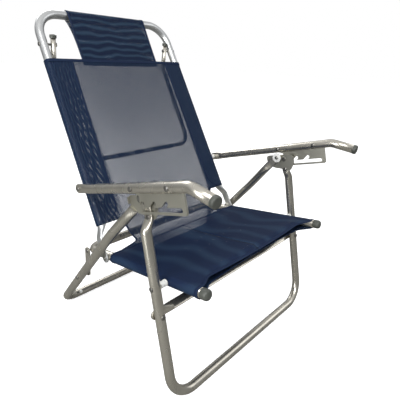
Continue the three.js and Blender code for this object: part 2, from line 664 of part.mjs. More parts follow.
function addHeadrest() {
  const { seam, low, front } = bandHang;
  const outer = SLEEVE + SHEET;
  const [leaveFront] = tangents([seam, front], outer);
  const [, leaveRear] = tangents([seam, front - SHEET], outer);
  const band = new THREE.Shape();
  band.moveTo(low, front - SHEET);
  band.lineTo(low, front);
  band.lineTo(seam, front);
  band.absarc(0, 0, outer, leaveFront, leaveRear, true);
  band.lineTo(seam, front - SHEET);
  band.closePath();
  const inner = SLEEVE;
  const apex = [seam + 5, front - SHEET / 2];
  const [holeFront, holeRear] = tangents(apex, inner);
  const hole = new THREE.Path();
  hole.absarc(0, 0, inner, holeRear, holeFront, false);
  hole.lineTo(...apex);
  hole.closePath();
  band.holes.push(hole);
  const top = onBack(backLength);
  add('headrest_band', slab(band, top, backUp, backFront, -bandHalf, bandHalf), MESH);
}

// ---- Arms ---------------------------------------------------------------------------------

const armTab = { half: 2.7, wide: 12.5, length: 30, blend: 40 };
const armTabAcross = 252;
const notchPitch = 34.5;
const channel = { rear: 262, front: 371, rise: -42, radius: 4.6 };
const notch = { reach: 266, rise: -30.5, back: 14, radius: 4.6, count: 3 };
const plateRivets = [247, 357];

const inArm = (shape, from, to) => sidePlate(shape, from, to, armPivot, armAlong, armUp);

function ratchetPlate(s) {
  const half = PLATE_THICK / 2;
  const body = inArm(outline(
    [[238, 6], [238, -9], [261, -15], [250, -51.5], [386, -51.5], [386, 6]], 7,
  ), s * (PLATE_ACROSS - half), s * (PLATE_ACROSS + half));
  const through = (shape) => inArm(shape, s * 255, s * 275);
  const slot = through(roundBar(
    [channel.rear, channel.rise], [channel.front, channel.rise], channel.radius));
  const notches = Array.from({ length: notch.count }, (_, i) => {
    const reach = notch.reach + i * notchPitch;
    return through(roundBar([reach - notch.back, channel.rise], [reach, notch.rise], notch.radius));
  });
  const holes = plateRivets.map((reach) => rivetHole(onArm(reach, 0, 0), s * 255, s * 275));
  return cut(body, slot, ...notches, ...holes);
}

function armTube(s) {
  const bend = onArm(armBendReach, 0, s * ACROSS.armFront);
  const end = point({ forward: 249, up: 504.5 }, s * ACROSS.armEnd);
  const tip = onArm(-armTab.wide, 0, s * armAcross(-armTab.wide));
  const path = roundedPath([tip, bend, end], [45]);
  const start = shifted(armTab, s * (armTabAcross - ACROSS.armRear));
  const arm = tube(path, X, TUBE, { start, thinAlongNormal: true });
  const slit = inArm(
    outline([[236, -16], [388, -16], [388, 6.4], [236, 6.4]], 1),
    s * (PLATE_ACROSS - PLATE_THICK / 2 - GAP), s * (PLATE_ACROSS + PLATE_THICK / 2 + GAP));
  const holes = plateRivets.map((reach) => rivetHole(onArm(reach, 0, 0), s * 240, s * 300));
  const arms = cut(arm, slit, rivetHole(armPivot, s * 240, s * 265), ...holes);
  return { arms, end, outward: end.clone().sub(bend).normalize() };
}

function addArm(name, s) {
  const { arms, end, outward } = armTube(s);
  add(`arm_tube_${name}`, arms, ALUMINIUM);
  add(`ratchet_plate_${name}`, ratchetPlate(s), PLATE);
  add(`arm_cap_${name}`, tubeCap(end, outward, TUBE, { radius: 12.4, height: 8, plug: 14 }), CAP);
  plateRivets.forEach((reach, i) => {
    const middle = armAcross(reach);
    add(`plate_rivet_${['rear', 'front'][i]}_${name}`, rivet(
      onArm(reach, 0, 0), s * (middle - TUBE.radius), s * (middle + TUBE.radius)), RIVET_METAL);
  });
  const tubeOuter = backAcross(armPivotUpBack) + TUBE.radius;
  add(`arm_spacer_${name}`, cut(
    axle(armPivot, s * (tubeOuter + 1 + SHEET), s * (armTabAcross - armTab.half - GAP), 7),
    rivetHole(armPivot, s * 230, s * 260)), NYLON);
  add(`arm_rivet_${name}`, rivet(armPivot, s * (tubeOuter - 2 * TUBE.radius),
    s * (armTabAcross + armTab.half)), RIVET_METAL);
}

// ---- Prop leg behind the back -------------------------------------------------------------

const propTop = { forward: -384, up: 732 };
const propBar = { upBack: 250, behind: 32 };

function addPropLeg() {
  const top = (s) => point(propTop, s * ACROSS.prop);
  const knee = (s) => onBack(512, -propBar.behind, s * ACROSS.prop);
  const low = (s) => onBack(propBar.upBack, -propBar.behind, s * ACROSS.prop);
  const corners = [top(-1), knee(-1), low(-1), low(1), knee(1), top(1)];
  const path = roundedPath(corners, [28, 38, 38, 28], 4);
  const leg = tube(path, backFront, PROP_TUBE);
  const holes = SIDES.map(([, s]) => rivetHole(propPivot, s * 175, s * 200));
  add('prop_leg', cut(leg, ...holes), ALUMINIUM);
  SIDES.forEach(([name, s]) => {
    const outward = top(s).sub(knee(s)).normalize();
    const cap = tubeCap(top(s), outward, PROP_TUBE, { radius: 8.4, height: 6, plug: 10 });
    add(`prop_cap_${name}`, cap, CAP);
    add(`prop_rivet_${name}`, rivet(propPivot, s * (ACROSS.prop - PROP_TUBE.radius),
      s * (backAcross(propPivotUpBack) + TUBE.radius)), RIVET_METAL);
  });
}

addFrontLegs();
addFrontCrossTube();
addRearLegs();
addSeatFrame();
addSeatPanel();
addBackFrame();
addBackPanel();
addLumbarStrip();
addHeadrest();
addPropLeg();
SIDES.forEach(([name, s]) => {
  addBracket(name, s);
  addRearLegFittings(name, s);
  addSeatFittings(name, s);
  addArm(name, s);
});

// The origin is the middle of the chair's bounding box, on the floor.
chair.updateMatrixWorld(true);
const bounds = new THREE.Box3().setFromObject(chair, true);
chair.position.set(0, -(bounds.min.y + bounds.max.y) / 2, -bounds.min.z);

export default chair;
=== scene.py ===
"""Looks of a reclining beach chair, built round its CAD frame. Metres, +Z up, the sitter faces -Y."""
import json
import math

import bpy
import numpy as np
from mathutils import Matrix, Vector


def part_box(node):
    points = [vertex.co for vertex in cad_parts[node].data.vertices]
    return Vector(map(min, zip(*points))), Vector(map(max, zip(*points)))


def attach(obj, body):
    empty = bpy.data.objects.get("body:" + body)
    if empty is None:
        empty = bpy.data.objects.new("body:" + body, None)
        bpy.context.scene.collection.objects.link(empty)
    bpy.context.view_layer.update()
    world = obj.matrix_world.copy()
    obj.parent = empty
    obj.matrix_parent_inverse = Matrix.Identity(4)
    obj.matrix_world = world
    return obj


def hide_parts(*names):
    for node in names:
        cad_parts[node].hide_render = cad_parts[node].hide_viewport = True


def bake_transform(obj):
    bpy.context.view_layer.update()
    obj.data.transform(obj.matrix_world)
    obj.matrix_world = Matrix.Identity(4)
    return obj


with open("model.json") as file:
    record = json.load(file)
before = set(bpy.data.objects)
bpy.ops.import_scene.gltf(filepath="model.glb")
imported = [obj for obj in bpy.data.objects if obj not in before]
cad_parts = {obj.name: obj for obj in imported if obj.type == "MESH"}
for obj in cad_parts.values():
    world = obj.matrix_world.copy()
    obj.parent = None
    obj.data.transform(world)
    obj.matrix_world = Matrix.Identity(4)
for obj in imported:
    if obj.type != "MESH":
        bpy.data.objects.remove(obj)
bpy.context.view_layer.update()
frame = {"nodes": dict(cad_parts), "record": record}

JOINT = {j["name"]: Vector(j["pos_m"]) for j in frame["record"]["behaviour"]["joints"]}
SIDES = (("left", 1), ("right", -1))
X = Vector((1, 0, 0))

# ---- Sizes, as the CAD frame has them ----------------------------------------------------------

GAP = 0.0003  # between pieces that lie on each other
TUBE = 0.011  # the tubes' outer radii
CROSS_TUBE = 0.010
PROP_TUBE = 0.0065
ROUNDNESS = 1.012  # how far the CAD tubes' corners stand out
SLEEVE = TUBE + 0.0006  # inside a loop of mesh round a tube
SHEET = 0.0008  # the mesh's thickness
WEB_IN, WEB_OUT = 0.2539, 0.2559  # the leg bracket's sheet


def low(node):
    return Vector(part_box(node)[0])


def high(node):
    return Vector(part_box(node)[1])


def middle_of(node):
    return (low(node) + high(node)) / 2


# ---- Places ------------------------------------------------------------------------------------

leg_pivot = JOINT["rear_leg_fold"]
seat_pivot = JOINT["seat_fold"]
hinge = JOINT["back_recline"]
arm_pivot = JOINT["arm_left_swing"]

floor_z = low("front_leg").z + TUBE
front_foot = Vector((0, low("front_leg").y + TUBE * ROUNDNESS, floor_z))
rear_foot = Vector((0, high("rear_leg").y - TUBE * ROUNDNESS, floor_z))
front_across = high("front_leg").x - TUBE * ROUNDNESS
rear_across = high("rear_leg").x - TUBE * ROUNDNESS
seat_across = high("seat_frame").x - TUBE * ROUNDNESS

seat_forward = (seat_pivot - hinge).normalized()
seat_up = seat_forward.cross(X)
back_top_z = high("back_frame").z - TUBE
back_up = Vector((0, 0.5032, 0.8642)).normalized()  # the back leans about 30 degrees
back_front = X.cross(back_up)
back_length = (back_top_z - hinge.z) / back_up.z
# Heights above the hinge, and how far the back tube's axis is from the middle plane there.
back_widths = ((-1.0, 0.2285), (0.07, 0.2275), (back_length, 0.213))


def on_seat(forward, rise=0.0, across=0.0):
    """A place on the seat: forward from the hinge along the rails, and above their axes."""
    return hinge + seat_forward * forward + seat_up * rise + X * across


def on_back(up, front=0.0, across=0.0):
    return hinge + back_up * up + back_front * front + X * across


def back_across(up):
    heights, widths = zip(*back_widths)
    return float(np.interp(up, heights, widths))


# ---- Mesh helpers ------------------------------------------------------------------------------

TUBE_SIDES = 32
LATHE_SIDES = 40
SQUARENESS = 0.62  # how square the edges of a pressed end are


def new_piece(name, verts, faces, body, material, replaces=(), slot=None, uvs=None):
    mesh = bpy.data.meshes.new(name)
    mesh.from_pydata([tuple(v) for v in verts], [], faces)
    mesh.validate()
    if uvs is not None:
        layer = mesh.uv_layers.new(name="cloth")
        for loop in mesh.loops:
            layer.data[loop.index].uv = uvs[loop.vertex_index]
    mesh.polygons.foreach_set("use_smooth", [True] * len(mesh.polygons))
    piece = bpy.data.objects.new(name, mesh)
    bpy.context.collection.objects.link(piece)
    mesh.materials.append(material)
    if body:
        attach(piece, body)
    if replaces:
        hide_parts(*replaces)
    return piece


def skin(rings, around):
    """The faces of a closed skin over rings of points, with a flat face at each end."""
    faces = []
    for r in range(rings - 1):
        for k in range(around):
            j = (k + 1) % around
            faces.append((r * around + k, r * around + j, (r + 1) * around + j, (r + 1) * around + k))
    faces.append(tuple(range(around))[::-1])
    faces.append(tuple(range((rings - 1) * around, rings * around)))
    return faces


def smoothstep(x, a, b):
    t = min(1.0, max(0.0, (x - a) / (b - a)))
    return t * t * (3 - 2 * t)


def rounded_path(corners, radii, steps=16):
    """The points of a path whose inner corners are rounded to the given radii."""
    path = [corners[0]]
    for i, radius in enumerate(radii, start=1):
        back = (corners[i - 1] - corners[i]).normalized()
        on = (corners[i + 1] - corners[i]).normalized()
        half = back.angle(on) / 2
        start = corners[i] + back * (radius / math.tan(half))
        end = corners[i] + on * (radius / math.tan(half))
        centre = corners[i] + (back + on).normalized() * (radius / math.sin(half))
        spin = (start - centre).cross(end - centre).normalized()
        sweep = (start - centre).angle(end - centre)
        for k in range(steps + 1):
            path.append(centre + Matrix.Rotation(sweep * k / steps, 3, spin) @ (start - centre))
    path.append(corners[-1])
    return path


def stations(path, start, end):
    """Distances along a path where sections stand, closer together over the pressed ends."""
    marks = [0.0]
    for a, b in zip(path, path[1:]):
        marks.append(marks[-1] + (b - a).length)
    total = marks[-1]
    extra = []
    for tab, flip in ((start, False), (end, True)):
        if tab:
            steps = [tab["wide"] * (1 - math.cos(math.pi / 2 * k / 10)) for k in range(1, 11)]
            steps += [tab["length"] + tab["blend"] * k / 10 for k in range(11)]
            steps += [tab["length"] + tab["drift"] * k / 12 for k in range(1, 13)]
            extra += [total - d if flip else d for d in steps]
    first = start["wide"] * 0.002 if start else 0.0
    last = total - (end["wide"] * 0.002 if end else 0.0)
    inner = [d for d in marks + extra if first + 1e-4 < d < last - 1e-4]
    return marks, total, sorted(set([first, last] + inner))


def at_station(path, marks, d):
    """The place and the direction of a path, a distance along it."""
    i = min(max(1, int(np.searchsorted(marks, d))), len(marks) - 1)
    centre = path[i - 1].lerp(path[i], (d - marks[i - 1]) / (marks[i] - marks[i - 1]))
    way = (path[i] - path[i - 1]).normalized()
    if abs(d - marks[i]) < 1e-7 and i < len(path) - 1:
        way = (way + (path[i + 1] - path[i]).normalized()).normalized()
    return centre, way


def pressed(tab, near, radius):
    """The half sizes of a pressed end's section, how flat it is, and how far it is moved aside."""
    flat = 1 - smoothstep(near, tab["length"], tab["length"] + tab["blend"])
    tip = math.sqrt(1 - (max(0.0, tab["wide"] - near) / tab["wide"]) ** 2)
    drift = 1 - smoothstep(near, tab["length"], tab["length"] + tab["drift"])
    thin = radius + (tab["half"] - radius) * flat
    wide = (radius + (tab["wide"] - radius) * flat) * tip
    return thin, wide, flat, tab.get("shift", Vector()) * drift


def tube(name, corners, radii, radius, normal, body, material, start=None, end=None,
         thin_on_normal=False, **kept):
    """A round tube along a path, with ends that may be pressed flat and moved aside."""
    path = rounded_path(corners, radii)
    marks, total, places = stations(path, start, end)
    verts = []
    for d in places:
        centre, way = at_station(path, marks, d)
        side = way.cross(normal).normalized()
        up = side.cross(way)
        tab = start if d < total / 2 else end
        thin, wide, flat = radius, radius, 0.0
        if tab:
            thin, wide, flat, move = pressed(tab, min(d, total - d), radius)
            centre = centre + move
        for k in range(TUBE_SIDES):
            angle = 2 * math.pi * k / TUBE_SIDES
            c, s = math.cos(angle), math.sin(angle)
            a = thin * math.copysign(abs(c) ** (1 - SQUARENESS * flat), c)
            b = wide * s
            verts.append(centre + (side * b + up * a if thin_on_normal else side * a + up * b))
    faces = skin(len(places), TUBE_SIDES)
    if not thin_on_normal:
        faces = [f[::-1] for f in faces]
    return new_piece(name, verts, faces, body, material, **kept)


def rounded_profile(profile, bevel, steps=4):
    """Rounds the inner corners of a (distance, radius) outline."""
    out = [profile[0]]
    for before, at, after in zip(profile, profile[1:], profile[2:]):
        p, a, b = Vector(at), Vector(before), Vector(after)
        reach_a = min(bevel, (a - p).length * 0.45)
        reach_b = min(bevel, (b - p).length * 0.45)
        start = p + (a - p).normalized() * reach_a
        end = p + (b - p).normalized() * reach_b
        for k in range(steps + 1):
            t = k / steps
            out.append(tuple(start * (1 - t) ** 2 + p * 2 * t * (1 - t) + end * t * t))
    out.append(profile[-1])
    return out


def lathe(name, origin, axis, profile, body, material, bevel=0.0005, **kept):
    """A turned piece: the profile gives (distance along the axis, radius) pairs."""
    outline = rounded_profile(profile, bevel)
    axis = axis.normalized()
    side = axis.orthogonal().normalized()
    other = axis.cross(side)
    verts = []
    for d, r in outline:
        for k in range(LATHE_SIDES):
            angle = 2 * math.pi * k / LATHE_SIDES
            reach = max(r, 1e-6)
            verts.append(origin + axis * d + (side * math.cos(angle) + other * math.sin(angle)) * reach)
    return new_piece(name, verts, skin(len(outline), LATHE_SIDES), body, material, **kept)


# ---- Materials ---------------------------------------------------------------------------------


def shader(name, **values):
    """A material with its Principled shader and node tree. The values go on the shader's sockets."""
    material = bpy.data.materials.new(name)
    material.use_nodes = True
    tree = material.node_tree
    bsdf = tree.nodes["Principled BSDF"]
    for key, value in values.items():
        bsdf.inputs[key.replace("_", " ")].default_value = value
    return material, tree, bsdf


def node(tree, kind, inputs=None, **settings):
    made = tree.nodes.new(kind)
    for key, value in settings.items():
        setattr(made, key, value)
    for key, value in (inputs or {}).items():
        if hasattr(value, "is_output"):
            tree.links.new(value, made.inputs[key])
        else:
            made.inputs[key].default_value = value
    return made


def ramp(tree, value, stops):
    """A colour ramp fed by a value. Stops are (place, colour) pairs."""
    made = node(tree, "ShaderNodeValToRGB", {"Fac": value})
    band = made.color_ramp.elements
    while len(band) < len(stops):
        band.new(0.5)
    for element, (place, colour) in zip(band, stops):
        element.position = place
        element.color = (*colour, 1.0)
    return made.outputs["Color"]


def grain(tree, scale, stretch=(1, 1, 1), detail=3.0):
    """A noise in the piece's own coordinates, stretched along an axis."""
    place = node(tree, "ShaderNodeTexCoord").outputs["Object"]
    spread = node(tree, "ShaderNodeMapping", {"Vector": place, "Scale": stretch})
    noise = node(tree, "ShaderNodeTexNoise",
                 {"Vector": spread.outputs["Vector"], "Scale": scale, "Detail": detail})
    return noise.outputs["Fac"]


WEAR = 0.03  # how far a metal's roughness strays


def metal(name, light, dark, roughness):
    material, tree, bsdf = shader(name, Metallic=0.92)
    patches = grain(tree, 22.0, (1.0, 1.0, 0.4), detail=1.0)
    tree.links.new(ramp(tree, patches, ((0.35, dark), (0.65, light))), bsdf.inputs["Base Color"])
    streaks = grain(tree, 40.0, (1.0, 1.0, 0.4), detail=0.0)
    spread = node(tree, "ShaderNodeMapRange", {"Value": streaks, "To Min": roughness - WEAR,
                                               "To Max": roughness + WEAR})
    tree.links.new(spread.outputs["Result"], bsdf.inputs["Roughness"])
    return material


def plastic(name, light, dark, roughness):
    material, tree, bsdf = shader(name)
    tree.links.new(ramp(tree, grain(tree, 60.0), ((0.35, dark), (0.65, light))),
                   bsdf.inputs["Base Color"])
    bsdf.inputs["Roughness"].default_value = roughness
    relief = node(tree, "ShaderNodeBump", {"Height": grain(tree, 900.0), "Strength": 0.15,
                                           "Distance": 0.0002})
    tree.links.new(relief.outputs["Normal"], bsdf.inputs["Normal"])
    return material


NAVY = (0.0035, 0.013, 0.045)
# The lighter navy is painted moiré light, where layered mesh would let the backdrop light through.
NAVY_MOIRE_LIGHT = (0.030, 0.065, 0.115)
THREAD_PITCH = 0.0015
POCKET_FROM = 0.160  # from the middle of the back
POCKET_BLEND = 0.004


def open_half(tree, across, open_part, pocket_open):
    """Half the open part of a pitch. It can be smaller in the side pockets."""
    if not pocket_open:
        return open_part / 2
    reach = node(tree, "ShaderNodeMath", {0: across}, operation="ABSOLUTE").outputs[0]
    limits = {"From Min": POCKET_FROM, "From Max": POCKET_FROM + POCKET_BLEND,
              "To Min": open_part / 2, "To Max": pocket_open / 2}
    return node(tree, "ShaderNodeMapRange", {"Value": reach, **limits}).outputs["Result"]


def weave(tree, split, limit):
    """Where a thread is and how high it stands, from the sheet's own flat coordinates."""
    inside = []
    aways = []
    for axis in "XY":
        turns = node(tree, "ShaderNodeMath", {0: split.outputs[axis], 1: THREAD_PITCH},
                     operation="DIVIDE").outputs[0]
        part = node(tree, "ShaderNodeMath", {0: turns}, operation="FRACT").outputs[0]
        off = node(tree, "ShaderNodeMath", {0: part, 1: 0.5}, operation="SUBTRACT").outputs[0]
        away = node(tree, "ShaderNodeMath", {0: off}, operation="ABSOLUTE").outputs[0]
        inside.append(node(tree, "ShaderNodeMath", {0: away, 1: limit},
                           operation="LESS_THAN").outputs[0])
        aways.append(away)
    hole = node(tree, "ShaderNodeMath", {0: inside[0], 1: inside[1]}, operation="MULTIPLY").outputs[0]
    solid = node(tree, "ShaderNodeMath", {0: 1.0, 1: hole}, operation="SUBTRACT").outputs[0]
    height = node(tree, "ShaderNodeMath", {0: aways[0], 1: aways[1]}, operation="MAXIMUM").outputs[0]
    return solid, height


def mesh_cloth(name, open_part, moire_light, bands="Y", spread=16.0, bend=5.0, bend_size=0.8,
               pocket_open=None):
    """Open polyester mesh: threads both ways with holes between, and painted moiré light: lighter navy
    bands for the backdrop light let through where layered mesh holes line up.
    """
    material, tree, bsdf = shader(name, Roughness=0.62, Specular_IOR_Level=0.22)
    place = node(tree, "ShaderNodeUVMap", uv_map="cloth").outputs["UV"]
    split = node(tree, "ShaderNodeSeparateXYZ", {"Vector": place})
    limit = open_half(tree, split.outputs["X"], open_part, pocket_open)
    solid, height = weave(tree, split, limit)
    tree.links.new(solid, bsdf.inputs["Alpha"])
    relief = node(tree, "ShaderNodeBump", {"Height": height, "Strength": 0.5, "Distance": 0.0003})
    tree.links.new(relief.outputs["Normal"], bsdf.inputs["Normal"])
    # Painted moiré light: wave bands lighten the navy as the backdrop light seen through layered mesh
    # would.
    waves = node(tree, "ShaderNodeTexWave",
                 {"Vector": place, "Scale": spread, "Distortion": bend, "Detail": 1.0,
                  "Detail Scale": bend_size}, bands_direction=bands)
    lightest = Vector(NAVY).lerp(Vector(NAVY_MOIRE_LIGHT), moire_light)
    painted_moire = ramp(tree, waves.outputs["Fac"], ((0.35, NAVY), (1.0, tuple(lightest))))
    tree.links.new(painted_moire, bsdf.inputs["Base Color"])
    return material


ALUMINIUM = metal("drawn_aluminium", (0.62, 0.59, 0.52), (0.54, 0.515, 0.45), 0.27)
# A lighter, cooler copy of the drawn aluminium for the back frame: painted highlight of the light on
# the back's top.
PAINTED_HIGHLIGHT_ALUMINIUM = metal("painted_highlight_aluminium", (0.68, 0.69, 0.69), (0.60, 0.61, 0.61), 0.33)
PLATE = metal("stamped_plate", (0.47, 0.46, 0.40), (0.41, 0.40, 0.345), 0.40)
RIVET = metal("rivet_steel", (0.30, 0.295, 0.275), (0.16, 0.155, 0.145), 0.30)
NYLON = plastic("white_nylon", (0.86, 0.86, 0.84), (0.78, 0.78, 0.75), 0.42)
CAP = plastic("dark_cap", (0.085, 0.09, 0.078), (0.055, 0.06, 0.052), 0.45)
# The second number in each is how much painted moiré light the mesh gets.
HEADREST_CLOTH = mesh_cloth("headrest_mesh", 0.60, 0.8)
SEAT_CLOTH = mesh_cloth("seat_mesh", 0.24, 0.32, "X", 4.5, 9.0, 1.0)
BACK_CLOTH = mesh_cloth("back_mesh", 0.61, 0.4, "X", 40.0, 6.0, 0.8, pocket_open=0.48)
HEM = mesh_cloth("navy_hem", 0.12, 0.1)


# ---- Tube frame --------------------------------------------------------------------------------

# Pressed ends: half their thickness and width, how long they are flat, how far they take to become
# round, and how far they take to come back to the tube's own line.
FRONT_TAB = dict(half=0.0023, wide=0.0112, length=0.042, blend=0.022, drift=0.030)
REAR_TAB = dict(half=0.0023, wide=0.0112, length=0.040, blend=0.045, drift=0.130)
CROSS_TAB = dict(half=0.0027, wide=0.0105, length=0.030, blend=0.026, drift=0.026)
HINGE_TAB = dict(half=0.0026, wide=0.0116, length=0.058, blend=0.038, drift=0.038)
ARM_TAB = dict(half=0.0027, wide=0.0115, length=0.022, blend=0.030, drift=0.070)
HINGE_GAP = 0.0011  # the tab leans in above the hinge, and still clears the rail when reclined
LEG_BEND = 0.062
REAR_BEND = 0.045
SEAT_BEND = 0.032
BACK_BEND = 0.062


def shifted(tab, amount):
    return dict(tab, shift=X * amount)


def u_tube(name, foot, tip, across, bend, tab, tab_across, body):
    """A leg frame: a floor bar and two side tubes whose tops are pressed flat."""
    corners = [tip - X * across, foot - X * across, foot + X * across, tip + X * across]
    move = tab_across - across
    return tube(name, corners, [bend, bend], TUBE, X.cross(tip - foot), body, ALUMINIUM,
                start=shifted(tab, -move), end=shifted(tab, move),
                replaces=(name.removesuffix("_tube"),), slot="frame_tube")


def add_legs():
    lean = (seat_pivot - front_foot) / (seat_pivot.z - front_foot.z)
    front_tip = front_foot + lean * (high("front_leg").z - front_foot.z)
    u_tube("front_leg_tube", front_foot, front_tip, front_across, LEG_BEND, FRONT_TAB,
           WEB_OUT + GAP + FRONT_TAB["half"], "front_frame")
    rise = (leg_pivot - rear_foot).normalized()
    u_tube("rear_leg_tube", rear_foot, leg_pivot + rise * REAR_TAB["wide"], rear_across, REAR_BEND,
           REAR_TAB, WEB_IN - GAP - REAR_TAB["half"], "rear_leg")


def add_cross_tube():
    middle = middle_of("front_cross_tube")
    half = X * high("front_cross_tube").x
    normal = X.cross(front_foot - seat_pivot).normalized()
    corners = [middle - half, middle + half]
    tube("cross_tube", corners, [], CROSS_TUBE, normal, "front_frame", ALUMINIUM, start=CROSS_TAB,
         end=CROSS_TAB, thin_on_normal=True, replaces=("front_cross_tube",), slot="frame_tube")


def add_seat_frame():
    front = (middle_of("seat_cap_left") - hinge).dot(seat_forward) - 0.0025  # inside the cap
    rear = (high("seat_frame").y - TUBE - hinge.y) / seat_forward.y
    corners = [on_seat(front, 0, -seat_across), on_seat(rear, 0, -seat_across),
               on_seat(rear, 0, seat_across), on_seat(front, 0, seat_across)]
    tube("seat_tube", corners, [SEAT_BEND, SEAT_BEND], TUBE, seat_up, "seat", ALUMINIUM,
         replaces=("seat_frame",), slot="frame_tube")


def add_back_frame():
    foot = -HINGE_TAB["wide"]
    low_half, top_half = back_across(foot), back_across(back_length)
    corners = [on_back(foot, 0, -low_half), on_back(back_length, 0, -top_half),
               on_back(back_length, 0, top_half), on_back(foot, 0, low_half)]
    move = seat_across + TUBE + HINGE_GAP + HINGE_TAB["half"] - back_across(0)
    # The back tube takes the painted-highlight copy of the aluminium.
    tube("back_tube", corners, [BACK_BEND, BACK_BEND], TUBE, back_front, "back", PAINTED_HIGHLIGHT_ALUMINIUM,
         start=shifted(HINGE_TAB, -move), end=shifted(HINGE_TAB, move), replaces=("back_frame",),
         slot="frame_tube")


ARM_REAR, ARM_FRONT = 0.259, 0.270  # how far out the arm's axis is at its pivot and its bend
ARM_TAB_ACROSS = 0.252
ARM_BEND_REACH = 0.405
ARM_BEND = 0.045
arm_rise = math.radians(17.06)
arm_along = Vector((0, -math.cos(arm_rise), math.sin(arm_rise)))


def add_arm(name, s):
    def axis_at(reach):
        across = ARM_REAR + (ARM_FRONT - ARM_REAR) * reach / ARM_BEND_REACH
        return arm_pivot + arm_along * reach + X * s * across

    bend = axis_at(ARM_BEND_REACH)
    cap_middle = middle_of(f"arm_cap_{name}")
    way = (cap_middle - bend).normalized()
    end = cap_middle + way * 0.003
    corners = [axis_at(-ARM_TAB["wide"]), bend, end]
    tube(f"arm_rail_{name}", corners, [ARM_BEND], TUBE, X, f"arm_{name}", ALUMINIUM,
         start=shifted(ARM_TAB, s * (ARM_TAB_ACROSS - ARM_REAR)), thin_on_normal=True,
         replaces=(f"arm_tube_{name}",), slot="frame_tube")
    lathe(f"arm_end_{name}", end - way * 0.004, way,
          [(0, 0.0), (0, 0.0116), (0.0075, 0.0116), (0.0095, 0.0098), (0.0104, 0.0)],
          f"arm_{name}", CAP, bevel=0.0018, replaces=(f"arm_cap_{name}",), slot="end_cap")


PROP_BEHIND = 0.032  # behind the back tube's axis
PROP_BAR_UP, PROP_KNEE_UP = 0.250, 0.512
PROP_KNEE_BEND, PROP_BAR_BEND = 0.028, 0.038


def add_prop():
    """The thin U leg behind the back, with its caps."""
    top = middle_of("prop_cap_left")
    across = top.x
    knee = on_back(PROP_KNEE_UP, -PROP_BEHIND)
    way = (Vector((0, top.y, top.z)) - knee).normalized()
    tip = Vector((0, top.y, top.z)) + way * 0.002
    corners = []
    for s in (-1, 1):
        side = [p + X * s * across for p in (tip, knee, on_back(PROP_BAR_UP, -PROP_BEHIND))]
        corners += side if s < 0 else side[::-1]
    bends = [PROP_KNEE_BEND, PROP_BAR_BEND, PROP_BAR_BEND, PROP_KNEE_BEND]
    tube("prop_tube", corners, bends, PROP_TUBE, back_front, "prop", ALUMINIUM,
         replaces=("prop_leg",), slot="frame_tube")
    for name, s in SIDES:
        lathe(f"prop_end_{name}", tip + X * s * across - way * 0.004, way,
              [(0, 0.0), (0, 0.0086), (0.0075, 0.0086), (0.0090, 0.0)], "prop", CAP, bevel=0.0012,
              replaces=(f"prop_cap_{name}",), slot="end_cap")


# ---- Rivets, pins, discs and caps --------------------------------------------------------------

HEAD = 0.0055
SHANK = 0.003
HEAD_HEIGHT = 0.0022


def rivet_between(name, start, end, body, replaces):
    """A rivet with a domed head at each end of its grip."""
    axis = end - start
    total = axis.length
    dome = [(0.0, 0.0), (0.0002, HEAD * 0.45), (0.0009, HEAD * 0.86), (0.0016, HEAD)]
    inner = [(HEAD_HEIGHT, HEAD), (HEAD_HEIGHT, SHANK)]
    profile = dome + inner + [(total - d, r) for d, r in reversed(dome + inner)]
    lathe(name, start, axis, profile, body, RIVET, bevel=0.0003, replaces=replaces, slot="rivet")


def add_across_rivet(node_name, body):
    middle = middle_of(node_name)
    half = X * (high(node_name).x - middle.x)
    rivet_between(f"{node_name}_domed", middle - half, middle + half, body, (node_name,))


def add_cross_rivets():
    normal = X.cross(front_foot - seat_pivot).normalized()
    for name, _ in SIDES:
        node_name = f"cross_tube_rivet_{name}"
        middle = middle_of(node_name)
        # The node's depth is the rivet's slanted length and its tilted heads.
        deep = high(node_name).y - low(node_name).y
        reach = (deep - 2 * HEAD * abs(normal.z)) / abs(normal.y) / 2
        rivet_between(f"{node_name}_domed", middle - normal * reach, middle + normal * reach,
                      "front_frame", (node_name,))


def add_turned(node_name, body, material, slot, radii, bevel=0.0005):
    """A turned piece across the chair. radii gives (part of its length, radius) pairs, from the
    middle plane outwards."""
    middle = middle_of(node_name)
    out = 1 if middle.x > 0 else -1
    length = high(node_name).x - low(node_name).x
    start = middle - X * (out * length / 2)
    profile = [(part * length, radius) for part, radius in radii]
    lathe(f"{node_name}_turned", start, X * out, profile, body, material, bevel=bevel,
          replaces=(node_name,), slot=slot)


